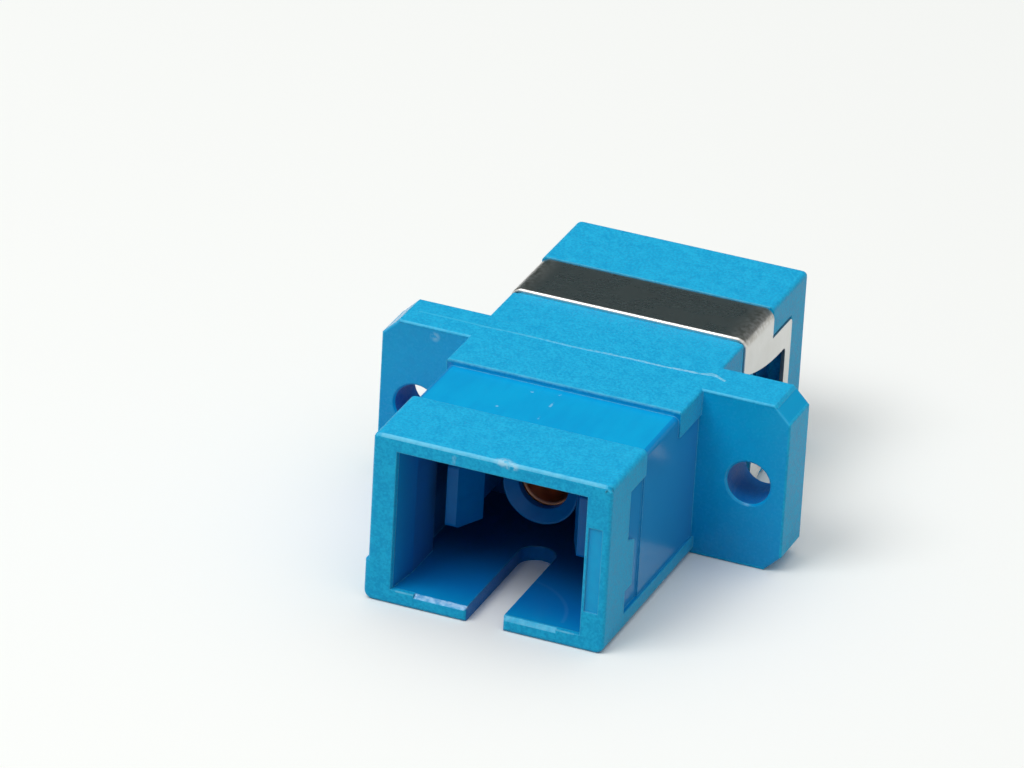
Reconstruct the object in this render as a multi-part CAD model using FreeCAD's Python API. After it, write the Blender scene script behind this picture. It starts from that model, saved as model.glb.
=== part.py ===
import FreeCAD, Part
import os

# Simplex adapter for two square push-pull fibre plugs, with a panel flange and a spring clip.
# Millimetres. The origin is on the fibre axis, in the plane where the flange seats on its panel.
# Y runs along the fibre, from the front mouth (-Y) to the rear mouth (+Y); X is across the
# flange; Z is up, away from the side with the key slots.

Vec = FreeCAD.Vector

# Flange, moulded half on each housing
mount_hole_spacing = 18.0
mount_hole_diameter = 2.3
flange_end_margin = 2.0
flange_thickness = 2.75
flange_corner = 0.9
flange_edge_radius = 0.12
hole_rim_bevel = 0.1

# Outer body
body_height = 9.2
body_width = 12.6
rear_core_inset = 0.1
front_length = 13.4
rear_length = 13.5
bottom_edge_radius = 0.45
top_edge_radius = 0.3
collar_edge_radius = 0.15
mouth_edge_radius = 0.2
rear_rim_radius = 0.42
end_block_radius = 0.25

# Relief moulded into the front barrel, as depths below its outer faces
top_relief_depth = 0.3
side_relief_depth = 0.13
finger_pocket_depth = 0.1
finger_pocket_drop = 1.4
band_length_top = 4.75
band_length_side = 2.6
band_tab_length = 0.9
band_tab_low = 2.3
band_tab_high = 4.8
band_tab_slant = 0.35
band_bevel = 0.18
rail_height = 1.0
collar_length = 2.9
collar_lip_height = 1.4
left_foot_depth = 0.15
left_foot_height = 2.15
insert_mark_depth = 0.07
insert_mark_width = 0.72
insert_mark_height = 4.6
insert_mark_from_side = 0.4
insert_mark_from_bottom = 2.15

# Plug socket, as walls left inside the outer body
side_wall = 1.525
floor_wall = 0.8
lead_in_flare = 0.265
lead_in_length = 2.2
side_wall_length = 4.8
latch_pocket_depth = 0.525
key_slot_width = 1.95
key_slot_length = 7.75
key_slot_mouth_radius = 0.2
floor_lip_chamfer = 0.2
floor_lip_from_side = 1.0

# Split alignment sleeve
ferrule_bore = 2.49
sleeve_wall = 0.355
sleeve_length = 11.4
sleeve_slot_width = 0.5
sleeve_end_chamfer = 0.08
sleeve_end_play = 0.13

# Latch insert
plate_lap_side = 0.4
plate_lap_height = 0.25
plate_thickness = 1.2
plate_corner = 0.6
holder_wall = 0.35
holder_lip_clearance = 0.105
holder_lip_thickness = 0.4
lead_cone_depth = 0.42
lead_cone_rim = 0.08
arm_reach = 9.65
arm_height = 3.4
arm_thickness = 0.58
arm_from_holder = 1.22
arm_root_radius = 0.5
arm_tip_radius = 0.2
hook_height = 0.78
hook_ramp_length = 1.8
hook_corner = 0.15

# Spring clip, folded from sheet; drops are measured down from the top of the body
sheet_thickness = 0.22
edge_roll_radius = 0.13
clip_band_start = 3.0
clip_band_width = 3.95
clip_bend_radius = 0.35
leg_rear_edge = 9.75
leg_shoulder_drop = 1.4
leg_front_drop = 1.75
leg_bow_drop = 2.5
leg_bow_position = 5.7
leg_rear_drop = 2.75
leg_curve_end = 8.4
leg_post_width = 0.75
leg_foot_width = 1.4
leg_foot_slope = 0.4
leg_corner_radius = 0.3
barb_width = 2.4
barb_from_foot = 0.37
barb_tip_position = 2.0
barb_spread = 1.0
barb_root_length = 0.35

# Windows through the rear housing's side walls, which the clip's barbs spring back into
window_start = 4.9
window_from_leg_edge = 0.05
window_top_drop = 1.75
window_corner = 0.4
window_skin = 0.4
window_skin_length = 1.3

# Fits
seat_clearance = 0.05
sleeve_clearance = 0.05
clip_clearance = 0.08
rear_step_above_clip = 0.05
rear_side_step = 0.15

# Places worked out from the sizes above
weld_y = -flange_thickness / 2
flange_front = -flange_thickness
front_y = weld_y - front_length
rear_y = weld_y + rear_length
bottom_z = -body_height / 2
top_z = body_height / 2
side_x = body_width / 2
core_x = side_x - rear_core_inset
rear_side_x = core_x + rear_side_step
rear_top_z = top_z + sheet_thickness + rear_step_above_clip
rail_top_z = bottom_z + rail_height
socket_x = side_x - side_wall
socket_z = top_z - floor_wall
pocket_x = socket_x + latch_pocket_depth
plate_x = pocket_x + plate_lap_side
plate_z = socket_z + plate_lap_height
leg_shoulder_z = top_z - leg_shoulder_drop
leg_end_z = rail_top_z + clip_clearance
barb_low_z = leg_end_z + barb_from_foot
barb_high_z = barb_low_z + barb_width
clip_band_end = clip_band_start + clip_band_width
sleeve_radius = ferrule_bore / 2 + sleeve_wall
holder_bore_radius = sleeve_radius + sleeve_clearance
holder_radius = holder_bore_radius + holder_wall
holder_lip_radius = ferrule_bore / 2 + holder_lip_clearance
holder_reach = sleeve_length / 2 + sleeve_end_play + holder_lip_thickness + lead_cone_depth
arm_inner_x = holder_radius + arm_from_holder

# How far a cutter runs past the face that it starts from
overcut = 1.0


def prism(points, direction):
    """A flat outline of straight edges, carried along a direction."""
    outline = Part.makePolygon(points + [points[0]])
    return Part.Face(outline).extrude(direction)


def across(y_z_points, x_from, x_to):
    """An outline in the side view, carried across the width."""
    return prism([Vec(x_from, y, z) for y, z in y_z_points], Vec(x_to - x_from, 0, 0))


def upright(x_y_points, z_from, z_to):
    """An outline in the plan view, carried upwards."""
    return prism([Vec(x, y, z_from) for x, y in x_y_points], Vec(0, 0, z_to - z_from))


def block(x_range, y_range, z_range):
    """A plain block between three pairs of limits."""
    low = Vec(min(x_range), min(y_range), min(z_range))
    high = Vec(max(x_range), max(y_range), max(z_range))
    return Part.makeBox(high.x - low.x, high.y - low.y, high.z - low.z, low)


def rod(radius, y_from, y_to, x=0.0):
    """A round bar that lies along the fibre axis or parallel to it."""
    return Part.makeCylinder(radius, y_to - y_from, Vec(x, y_from, 0), Vec(0, 1, 0))


def turned(radius_y_points):
    """A profile of radii and places along the fibre axis, turned about that axis."""
    points = [Vec(radius, y, 0) for radius, y in radius_y_points]
    face = Part.Face(Part.makePolygon(points + [points[0]]))
    return face.revolve(Vec(0, 0, 0), Vec(0, 1, 0), 360)


def near(a, b, tolerance=1e-4):
    return abs(a - b) < tolerance


def edges_where(shape, test):
    """The edges of a shape whose every sampled point passes a test."""
    return [edge for edge in shape.Edges
            if all(test(point) for point in edge.discretize(5))]


def edges_along(shape, axis):
    """The straight edges of a shape that run along one axis, given as "X", "Y" or "Z"."""
    others = [name for name in ("x", "y", "z") if name != axis.lower()]
    chosen = []
    for edge in shape.Edges:
        first, last = edge.Vertexes[0].Point, edge.Vertexes[-1].Point
        if all(near(getattr(first, name), getattr(last, name)) for name in others):
            chosen.append(edge)
    return chosen


def barrel(half_width, low_z, high_z, y_range, low_radius, high_radius):
    """A straight barrel with its four long edges rounded."""
    solid = block((-half_width, half_width), y_range, (low_z, high_z))
    for radius, level in ((low_radius, low_z), (high_radius, high_z)):
        if radius > 0:
            edges = [edge for edge in edges_along(solid, "Y")
                     if near(edge.Vertexes[0].Z, level)]
            solid = solid.makeFillet(radius, edges)
    return solid


def rounded_end(solid, end_y, radius):
    """Rounds the outline of the end face that lies at one place along the fibre axis."""
    rim = edges_where(solid, lambda point: near(point.y, end_y))
    return solid.makeFillet(radius, rim)


def mirrored_at_weld(solid):
    return solid.mirror(Vec(0, weld_y, 0), Vec(0, 1, 0))


def flange_half(outer_y):
    """Half the flange's thickness, from the weld plane to one of its two outer faces. The two
    screw holes have bevelled rims."""
    half_width = mount_hole_spacing / 2 + flange_end_margin
    inset_x = half_width - flange_corner
    inset_z = top_z - flange_corner
    corners = [(-half_width, -inset_z), (-inset_x, bottom_z), (inset_x, bottom_z),
               (half_width, -inset_z), (half_width, inset_z), (inset_x, top_z),
               (-inset_x, top_z), (-half_width, inset_z)]
    plate = prism([Vec(x, weld_y, z) for x, z in corners], Vec(0, outer_y - weld_y, 0))
    plate = rounded_end(plate, outer_y, flange_edge_radius)
    for side in (-1, 1):
        plate = plate.cut(rod(mount_hole_diameter / 2, flange_front - overcut, overcut,
                              side * mount_hole_spacing / 2))
    hole_rims = [edge for edge in plate.Edges
                 if isinstance(edge.Curve, Part.Circle) and near(edge.Curve.Center.y, outer_y)
                 and near(edge.Curve.Radius, mount_hole_diameter / 2)]
    return plate.makeChamfer(hole_rim_bevel, hole_rims)


def socket_cut(mouth_y, inward):
    """The plug's space: a tapered lead-in, straight walls, the wider latch pocket and the
    rebate that holds the latch insert's plate. Inward is +1 or -1 along the fibre axis."""
    outside = mouth_y - inward * overcut
    flared = socket_x + lead_in_flare * (lead_in_length + overcut) / lead_in_length
    lead_end = mouth_y + inward * lead_in_length
    wall_end = mouth_y + inward * side_wall_length
    half_plan = [(flared, outside), (socket_x, lead_end), (socket_x, wall_end),
                 (pocket_x, wall_end), (pocket_x, weld_y)]
    plan = half_plan + [(-x, y) for x, y in reversed(half_plan)]
    cut = upright(plan, -socket_z, socket_z)
    rebate_half = plate_x + seat_clearance
    rebate_rise = plate_z + seat_clearance
    rebate = block((-rebate_half, rebate_half), (weld_y - inward * plate_thickness, weld_y),
                   (-rebate_rise, rebate_rise))
    return cut.fuse(rebate)


def key_slot_cut(mouth_y, inward):
    """The slot for the plug's key, through the floor of the socket. Its inner end is round and
    so are the two corners where it opens at the mouth."""
    half = key_slot_width / 2
    corner = key_slot_mouth_radius
    centre_y = mouth_y + inward * (key_slot_length - half)
    outside = mouth_y - inward * overcut
    low_z = bottom_z - overcut
    rise = overcut * 2 + floor_wall
    z_range = (low_z, low_z + rise)
    straight = block((-half, half), (outside, centre_y), z_range)
    round_end = Part.makeCylinder(half, rise, Vec(0, centre_y, low_z))
    mouth = block((-half - corner, half + corner), (outside, mouth_y + inward * corner), z_range)
    for side in (-1, 1):
        post = Part.makeCylinder(corner, rise, Vec(side * (half + corner),
                                                   mouth_y + inward * corner, low_z))
        mouth = mouth.cut(post)
    return straight.multiFuse([round_end, mouth])


def floor_lip_cut(mouth_y, inward):
    """The bevel where the plug slides in over the floor's front edge."""
    floor_z = -socket_z
    half = socket_x - floor_lip_from_side
    outside = mouth_y - inward * overcut
    bevel = [(mouth_y + inward * floor_lip_chamfer, floor_z),
             (mouth_y, floor_z - floor_lip_chamfer),
             (outside, floor_z - floor_lip_chamfer),
             (outside, floor_z)]
    return across(bevel, -half, half)


def open_socket(solid, mouth_y, inward):
    """Cuts all that the plug needs out of one half of the housing."""
    for cutter in (socket_cut, key_slot_cut, floor_lip_cut):
        solid = solid.cut(cutter(mouth_y, inward))
    return solid


def finger_pocket_cut(side):
    """The pocket beside the mouth band: the band's edge steps round a small tab."""
    front = front_y + band_length_side
    tab = front + band_tab_length
    rear = front_y + band_length_top
    high = top_z - finger_pocket_drop
    tab_low = bottom_z + band_tab_low
    tab_high = bottom_z + band_tab_high
    outline = [(front, rail_top_z), (rear, rail_top_z), (rear, high), (front, high),
               (front, tab_high + band_tab_slant), (tab, tab_high), (tab, tab_low),
               (front, tab_low)]
    floor_x = side_x - side_relief_depth - finger_pocket_depth
    return across(outline, side * floor_x, side * (side_x + overcut))


def insert_mark_cut():
    """The faint sunk rectangle that a mould insert leaves on the right of the front mouth."""
    outer = side_x - insert_mark_from_side
    low = bottom_z + insert_mark_from_bottom
    return block((outer - insert_mark_width, outer),
                 (front_y - overcut, front_y + insert_mark_depth),
                 (low, low + insert_mark_height))


def mouth_band():
    """The textured band round the mouth, with a rounded rim and a bevelled rear edge on top."""
    end = front_y + band_length_top
    band = barrel(side_x, bottom_z, top_z, (front_y, end), bottom_edge_radius, top_edge_radius)
    band = rounded_end(band, front_y, mouth_edge_radius)
    rear_edge = edges_where(band, lambda point: near(point.y, end) and near(point.z, top_z))
    return band.makeChamfer(band_bevel, rear_edge)


def left_foot():
    """The lower left of the mouth band stands a little prouder than the rest."""
    foot_x = side_x + left_foot_depth
    y_range = (front_y, front_y + band_length_side)
    foot = barrel(foot_x, bottom_z, top_z, y_range, bottom_edge_radius, 0)
    foot = rounded_end(foot, front_y, mouth_edge_radius)
    return foot.common(block((-foot_x, 0), y_range, (bottom_z, bottom_z + left_foot_height)))


def front_body():
    """The front barrel: a relieved core that carries the mouth band, the two bottom rails
    and the collar beside the flange."""
    inside_flange = (flange_front + weld_y) / 2
    inside_band = front_y + band_length_side / 2
    core = barrel(side_x - side_relief_depth, bottom_z, top_z - top_relief_depth,
                  (inside_band, inside_flange), bottom_edge_radius, top_edge_radius)
    rails = barrel(side_x, bottom_z, top_z, (inside_band, inside_flange), bottom_edge_radius, 0)
    rails = rails.common(block((-side_x, side_x), (inside_band, inside_flange),
                               (bottom_z, rail_top_z)))
    collar_y = (flange_front - collar_length, inside_flange)
    collar = barrel(side_x, bottom_z, top_z, collar_y, 0, collar_edge_radius)
    collar = collar.common(block((-side_x, side_x), collar_y,
                                 (top_z - collar_lip_height, top_z)))
    body = core.multiFuse([mouth_band(), rails, collar])
    for side in (-1, 1):
        body = body.cut(finger_pocket_cut(side))
    return body


def front_housing():
    solid = front_body().fuse(left_foot()).fuse(flange_half(flange_front))
    solid = open_socket(solid, front_y, 1)
    return solid.cut(insert_mark_cut()).removeSplitter()


def side_window_cut(side):
    """The window through one side wall, with rounded corners. Its rear end stays closed by a
    thin inner skin beside the plug."""
    half_rise = top_z - window_top_drop
    reach = rear_side_x + overcut
    window_end = leg_rear_edge - window_from_leg_edge
    cut = block((0, side * reach), (window_start, window_end), (-half_rise, half_rise))
    cut = cut.makeFillet(window_corner, edges_along(cut, "X"))
    skin = block((0, side * (socket_x + window_skin)), (window_end - window_skin_length,
                 window_end), (-half_rise, half_rise))
    return cut.cut(skin)


def rear_body():
    """The rear barrel: a collar behind the flange, the narrower core that the clip sits on,
    two bottom rails, and an end block behind the clip's band, a little taller than the sheet."""
    inside_flange = weld_y / 2
    block_start = clip_band_end + clip_clearance
    inside_block = rear_y - rear_rim_radius
    core = barrel(core_x, bottom_z, top_z, (inside_flange, inside_block),
                  bottom_edge_radius, clip_bend_radius)
    collar = barrel(side_x, bottom_z, top_z, (inside_flange, clip_band_start - clip_clearance),
                    bottom_edge_radius, collar_edge_radius)
    end_block = barrel(rear_side_x, bottom_z, rear_top_z, (block_start, rear_y),
                       bottom_edge_radius, end_block_radius)
    end_block = rounded_end(end_block, rear_y, rear_rim_radius)
    leg_space_end = leg_rear_edge + clip_clearance
    for side in (-1, 1):
        leg_space = block((side * core_x, side * (rear_side_x + overcut)),
                          (block_start - overcut, leg_space_end),
                          (rail_top_z, leg_shoulder_z + clip_clearance))
        end_block = end_block.cut(leg_space)
    rail_y = (inside_flange, block_start + overcut)
    rails = barrel(rear_side_x, bottom_z, top_z, rail_y, bottom_edge_radius, 0)
    rails = rails.common(block((-rear_side_x, rear_side_x), rail_y, (bottom_z, rail_top_z)))
    return core.multiFuse([collar, end_block, rails])


def rear_housing():
    solid = rear_body().fuse(flange_half(0.0))
    solid = open_socket(solid, rear_y, -1)
    for side in (-1, 1):
        solid = solid.cut(side_window_cut(side))
    return solid.removeSplitter()


def latch_arm(side):
    """One springy latch arm with a ramped hook at its rounded tip, seen in plan and carried
    up."""
    inner_x = arm_inner_x
    outer_x = inner_x + arm_thickness
    hook_x = inner_x - hook_height
    root_y = weld_y - plate_thickness / 2
    plate_face = weld_y - plate_thickness
    tip_y = weld_y - arm_reach
    catch_y = tip_y + hook_ramp_length
    arm = upright([(outer_x, root_y), (outer_x, tip_y), (inner_x, tip_y),
                   (hook_x, catch_y - hook_corner), (hook_x + hook_corner, catch_y),
                   (inner_x, catch_y), (inner_x, root_y)], -arm_height / 2, arm_height / 2)
    envelope = block((hook_x, outer_x), (tip_y, root_y), (-arm_height / 2, arm_height / 2))
    tip_edges = [edge for edge in edges_along(envelope, "X")
                 if near(edge.Vertexes[0].Y, tip_y)]
    arm = arm.common(envelope.makeFillet(arm_tip_radius, tip_edges))
    fillet_start = plate_face - arm_root_radius
    gusset = block((inner_x - arm_root_radius, inner_x + arm_thickness / 2),
                   (fillet_start, root_y), (-arm_height / 2, arm_height / 2))
    hollow = Part.makeCylinder(arm_root_radius, arm_height,
                               Vec(inner_x - arm_root_radius, fillet_start, -arm_height / 2))
    arm = arm.fuse(gusset.cut(hollow))
    return arm if side > 0 else arm.mirror(Vec(0, 0, 0), Vec(1, 0, 0))


def sleeve_holder():
    """Half of the sleeve's holder, turned about the fibre axis, with a coned mouth lip."""
    lip = holder_lip_radius
    mouth_y = weld_y - holder_reach
    cone_y = mouth_y + lead_cone_depth
    lip_y = cone_y + holder_lip_thickness
    return turned([(holder_bore_radius, weld_y), (holder_bore_radius, lip_y), (lip, lip_y),
                   (lip, cone_y), (holder_radius - lead_cone_rim, mouth_y),
                   (holder_radius, mouth_y), (holder_radius, weld_y)])


def latch_insert():
    """The front insert: its base plate, two latch arms and half of the sleeve's holder."""
    plate = block((-plate_x, plate_x), (weld_y - plate_thickness, weld_y), (-plate_z, plate_z))
    plate = plate.makeFillet(plate_corner, edges_along(plate, "Y"))
    plate = plate.cut(rod(holder_bore_radius, weld_y - plate_thickness - overcut,
                          weld_y + overcut))
    solid = plate.multiFuse([latch_arm(-1), latch_arm(1), sleeve_holder()])
    return solid.removeSplitter()


def alignment_sleeve():
    """A thin tube with one slot along its whole length and bevelled ends."""
    inner = ferrule_bore / 2
    half_length = sleeve_length / 2
    bevel = sleeve_end_chamfer
    half_profile = [(inner, half_length - bevel), (inner + bevel, half_length),
                    (sleeve_radius - bevel, half_length), (sleeve_radius, half_length - bevel)]
    profile = half_profile + [(radius, -y) for radius, y in reversed(half_profile)]
    tube = turned([(radius, weld_y + y) for radius, y in profile])
    slot = block((-sleeve_slot_width / 2, sleeve_slot_width / 2),
                 (weld_y - sleeve_length, weld_y + sleeve_length), (0, sleeve_radius * 2))
    return tube.cut(slot)


def clip_sheet():
    """The folded sheet before its outline is cut: over the top and down both sides. Stamping
    has rolled the outer corner of its front edge."""
    y_range = (clip_band_start, leg_rear_edge)
    outer = barrel(core_x + sheet_thickness, leg_end_z, top_z + sheet_thickness, y_range,
                   0, clip_bend_radius + sheet_thickness)
    outer = rounded_end(outer, clip_band_start, edge_roll_radius)
    inner = barrel(core_x, leg_end_z - overcut, top_z, y_range, 0, clip_bend_radius)
    return outer.cut(inner)


def leg_opening_cut(reach):
    """What is cut from the legs in the side view: all that lies below a bowed edge and in
    front of the post and its wider foot."""
    post_y = leg_rear_edge - leg_post_width
    foot_y = leg_rear_edge - leg_foot_width
    low = leg_end_z - overcut
    start = Vec(-reach, clip_band_start, top_z - leg_front_drop)
    bow = Vec(-reach, leg_bow_position, top_z - leg_bow_drop)
    end = Vec(-reach, leg_curve_end, top_z - leg_rear_drop)
    edge = Part.Arc(start, bow, end).toShape()
    corners = [end, Vec(-reach, post_y, end.z),
               Vec(-reach, post_y, barb_high_z + leg_foot_slope),
               Vec(-reach, foot_y, barb_high_z), Vec(-reach, foot_y, low),
               Vec(-reach, clip_band_start - overcut, low),
               Vec(-reach, clip_band_start - overcut, start.z), start]
    outline = Part.Wire([edge] + Part.makePolygon(corners).Edges)
    opening = Part.Face(outline).extrude(Vec(reach * 2, 0, 0))
    inner_corner = [edge for edge in edges_along(opening, "X")
                    if near(edge.Vertexes[0].Y, post_y) and near(edge.Vertexes[0].Z, end.z)]
    return opening.makeFillet(leg_corner_radius, inner_corner)


def clip_barb(side):
    """The spring barb: a tongue that leans out of the leg towards the flange, in plan."""
    outer_x = core_x + sheet_thickness
    root_y = leg_rear_edge - leg_foot_width
    plan = [(outer_x, root_y + barb_root_length), (outer_x, root_y),
            (outer_x + barb_spread, barb_tip_position),
            (core_x + barb_spread, barb_tip_position), (core_x, root_y),
            (core_x, root_y + barb_root_length)]
    return upright([(side * x, y) for x, y in plan], barb_low_z, barb_high_z)


def mounting_clip():
    reach = core_x + sheet_thickness + overcut
    behind_band = block((-reach, reach), (clip_band_end, leg_rear_edge + overcut),
                        (leg_shoulder_z, top_z + sheet_thickness + overcut))
    solid = clip_sheet().cut(behind_band).cut(leg_opening_cut(reach))
    shoulders = [edge for edge in edges_along(solid, "X")
                 if near(edge.Vertexes[0].Y, leg_rear_edge)
                 and near(edge.Vertexes[0].Z, leg_shoulder_z)]
    solid = solid.makeFillet(leg_corner_radius, shoulders)
    solid = solid.multiFuse([clip_barb(-1), clip_barb(1)])
    return solid.removeSplitter()


def main():
    os.makedirs("parts", exist_ok=True)
    front_insert = latch_insert()
    pieces = {
        "front_housing": front_housing(),
        "rear_housing": rear_housing(),
        "front_latch_insert": front_insert,
        "rear_latch_insert": mirrored_at_weld(front_insert),
        "alignment_sleeve": alignment_sleeve(),
        "mounting_clip": mounting_clip(),
    }
    for name, shape in pieces.items():
        solid = shape.Solids[0] if len(shape.Solids) == 1 else shape
        print(name, len(shape.Solids), "solid,", round(shape.Volume, 3), "mm3, valid", shape.isValid())
        solid.exportStep(f"parts/{name}.step")


main()
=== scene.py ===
"""Fibre plug adapter: moulded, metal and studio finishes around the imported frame."""

import math

import bpy
import numpy as np
from bpy.props import FloatProperty, FloatVectorProperty, PointerProperty
from bpy.types import Operator, Panel, PropertyGroup
from mathutils import Matrix, Vector


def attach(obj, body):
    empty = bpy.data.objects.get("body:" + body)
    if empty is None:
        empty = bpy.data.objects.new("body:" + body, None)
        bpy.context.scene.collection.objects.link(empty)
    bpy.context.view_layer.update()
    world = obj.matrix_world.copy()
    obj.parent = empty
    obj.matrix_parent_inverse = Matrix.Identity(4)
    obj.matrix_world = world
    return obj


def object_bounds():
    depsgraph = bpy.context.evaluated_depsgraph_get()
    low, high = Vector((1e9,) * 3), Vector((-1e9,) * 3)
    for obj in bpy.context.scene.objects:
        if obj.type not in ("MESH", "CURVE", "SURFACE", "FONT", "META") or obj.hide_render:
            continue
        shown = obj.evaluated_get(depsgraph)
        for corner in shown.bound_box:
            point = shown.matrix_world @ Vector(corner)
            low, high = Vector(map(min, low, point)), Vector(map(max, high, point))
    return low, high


bl_info = {
    "name": "Fibre Plug Adapter",
    "version": (1, 0, 0),
    "blender": (4, 5, 0),
    "location": "3D View > Sidebar > Adapter",
    "description": "Finishes a panel adapter for two square fibre plugs and sets up its studio",
    "category": "Object",
}

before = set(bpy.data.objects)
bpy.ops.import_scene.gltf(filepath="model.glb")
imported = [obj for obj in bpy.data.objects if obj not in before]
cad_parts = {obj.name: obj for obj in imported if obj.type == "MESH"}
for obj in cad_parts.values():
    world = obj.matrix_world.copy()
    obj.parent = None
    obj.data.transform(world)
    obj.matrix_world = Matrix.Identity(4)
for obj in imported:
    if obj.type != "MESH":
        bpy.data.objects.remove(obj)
cad_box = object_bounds()

MM = 0.001

# Places on the part, in metres, in the frame's axes
SIDE_X = 6.3 * MM
TOP_Z = 4.6 * MM
FRONT_Y = -14.775 * MM
REAR_Y = 12.125 * MM
FLANGE_FRONT_Y = -2.75 * MM
WELD_Y = FLANGE_FRONT_Y / 2
COLLAR_Y = FLANGE_FRONT_Y - 2.9 * MM
WING_X = 10.9 * MM
BLOCK_Y = 6.95 * MM
BLOCK_Z = 4.87 * MM
LIP_X = 3.78 * MM
LIP_LOW_Z = -3.99 * MM
FLOOR_Z = cad_box[0][2]

# The x of both ends of the weld's flash, in millimetres
FLASH_ENDS = (-9.6, 6.95)

# The rubbed marks: place and reach in millimetres, and strength
RUB_MARKS = (
    # A rubbed stretch and a nick on the mouth's rim
    ((0.55, -14.72, 4.56), (0.62, 0.50, 0.30), 1.0),
    ((1.00, -14.76, 4.46), (0.50, 0.35, 0.28), 1.0),
    ((-2.02, -14.77, 4.10), (0.22, 0.20, 0.35), 0.35),
    # Specks on the polished top
    ((-1.32, -6.46, 4.30), (0.13, 0.13, 0.13), 0.8),
    ((-2.27, -8.75, 4.30), (0.11, 0.11, 0.11), 0.6),
    ((0.03, -6.14, 4.30), (0.09, 0.16, 0.12), 0.5),
    ((0.07, -7.45, 4.30), (0.09, 0.50, 0.12), 0.5),
    ((0.06, -8.97, 4.30), (0.09, 0.22, 0.12), 0.5),
    # A smear on the left wing
    ((-8.12, -2.75, 4.10), (0.34, 0.20, 0.34), 0.6),
)


# Shader building blocks

def add_node(tree, kind, inputs=None, **settings):
    """Adds a node. Inputs are keyed by a socket's name or number and hold a value or a socket."""
    node = tree.nodes.new(kind)
    for name, value in settings.items():
        setattr(node, name, value)
    for key, value in (inputs or {}).items():
        if isinstance(value, bpy.types.NodeSocket):
            tree.links.new(value, node.inputs[key])
        else:
            node.inputs[key].default_value = value
    return node


def math_node(tree, operation, *values, clamp=False):
    node = add_node(tree, "ShaderNodeMath", dict(enumerate(values)), operation=operation,
                    use_clamp=clamp)
    return node.outputs[0]


def times(tree, first, second):
    return math_node(tree, "MULTIPLY", first, second)


def vector_node(tree, operation, *values, output=0):
    node = add_node(tree, "ShaderNodeVectorMath", dict(enumerate(values)), operation=operation)
    return node.outputs[output]


def fade(tree, value, low, high, to_low=0.0, to_high=1.0):
    """A smooth step from one value to another as the input goes from low to high."""
    node = add_node(tree, "ShaderNodeMapRange",
                    {0: value, 1: low, 2: high, 3: to_low, 4: to_high},
                    interpolation_type="SMOOTHSTEP")
    return node.outputs[0]


def mix_values(tree, factor, first, second):
    node = add_node(tree, "ShaderNodeMix", {0: factor, 2: first, 3: second}, data_type="FLOAT")
    return node.outputs[0]


def mix_colours(tree, factor, first, second):
    node = add_node(tree, "ShaderNodeMix", {0: factor, 6: first, 7: second}, data_type="RGBA")
    return node.outputs[2]


def opaque(colour):
    return (*colour[:3], 1.0)


def object_place(tree):
    return add_node(tree, "ShaderNodeTexCoord").outputs["Object"]


def coordinates(tree):
    """The x, y and z of the Object coordinates."""
    return add_node(tree, "ShaderNodeSeparateXYZ", {0: object_place(tree)}).outputs


def noise(tree, place, scale, detail=2.0, roughness=0.5):
    node = add_node(tree, "ShaderNodeTexNoise",
                    {"Vector": place, "Scale": scale, "Detail": detail, "Roughness": roughness})
    return node.outputs[0]


def varied(tree, value, pattern, span):
    """A value that a noise, which lies round 0.5, moves up and down within a span."""
    swing = times(tree, math_node(tree, "SUBTRACT", pattern, 0.5), span)
    return math_node(tree, "ADD", value, swing, clamp=True)


def new_group(name, inputs, outputs):
    """A shader node group. Inputs are (name, kind, default) and outputs are (name, kind)."""
    tree = bpy.data.node_groups.new(name, "ShaderNodeTree")
    for socket_name, kind, default in inputs:
        socket = tree.interface.new_socket(socket_name, in_out="INPUT",
                                           socket_type="NodeSocket" + kind)
        socket.default_value = default
    for socket_name, kind in outputs:
        tree.interface.new_socket(socket_name, in_out="OUTPUT",
                                  socket_type="NodeSocket" + kind)
    inside = tree.nodes.new("NodeGroupInput").outputs
    result = tree.nodes.new("NodeGroupOutput").inputs
    return tree, inside, result


def place_group(tree, group, **inputs):
    """Places a group in a material; a keyword's underscores stand for the spaces in a name."""
    node = add_node(tree, "ShaderNodeGroup", node_tree=group)
    for key, value in inputs.items():
        socket = node.inputs[key.replace("_", " ")]
        if isinstance(value, bpy.types.NodeSocket):
            tree.links.new(value, socket)
        else:
            socket.default_value = value
    return node.outputs


def once(name, build):
    """The group with this name, built the first time that a material asks for it."""
    return bpy.data.node_groups.get(name) or build(name)


# Shared effects

def build_box_zone(name):
    """Mask of 1 inside a box and 0 outside it, from the largest of the three distances past
    the box's faces."""
    tree, inside, result = new_group(
        name,
        [("Centre", "Vector", (0, 0, 0)), ("Half Size", "Vector", (0.001, 0.001, 0.001)),
         ("Softness", "Float", 0.00002)],
        [("Mask", "Float")])
    offset = vector_node(tree, "SUBTRACT", object_place(tree), inside["Centre"])
    past = vector_node(tree, "SUBTRACT", vector_node(tree, "ABSOLUTE", offset),
                       inside["Half Size"])
    parts = add_node(tree, "ShaderNodeSeparateXYZ", {0: past}).outputs
    farthest = highest(tree, parts)
    below = times(tree, inside["Softness"], -1.0)
    mask = fade(tree, farthest, below, inside["Softness"], 1.0, 0.0)
    tree.links.new(mask, result["Mask"])
    return tree


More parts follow.
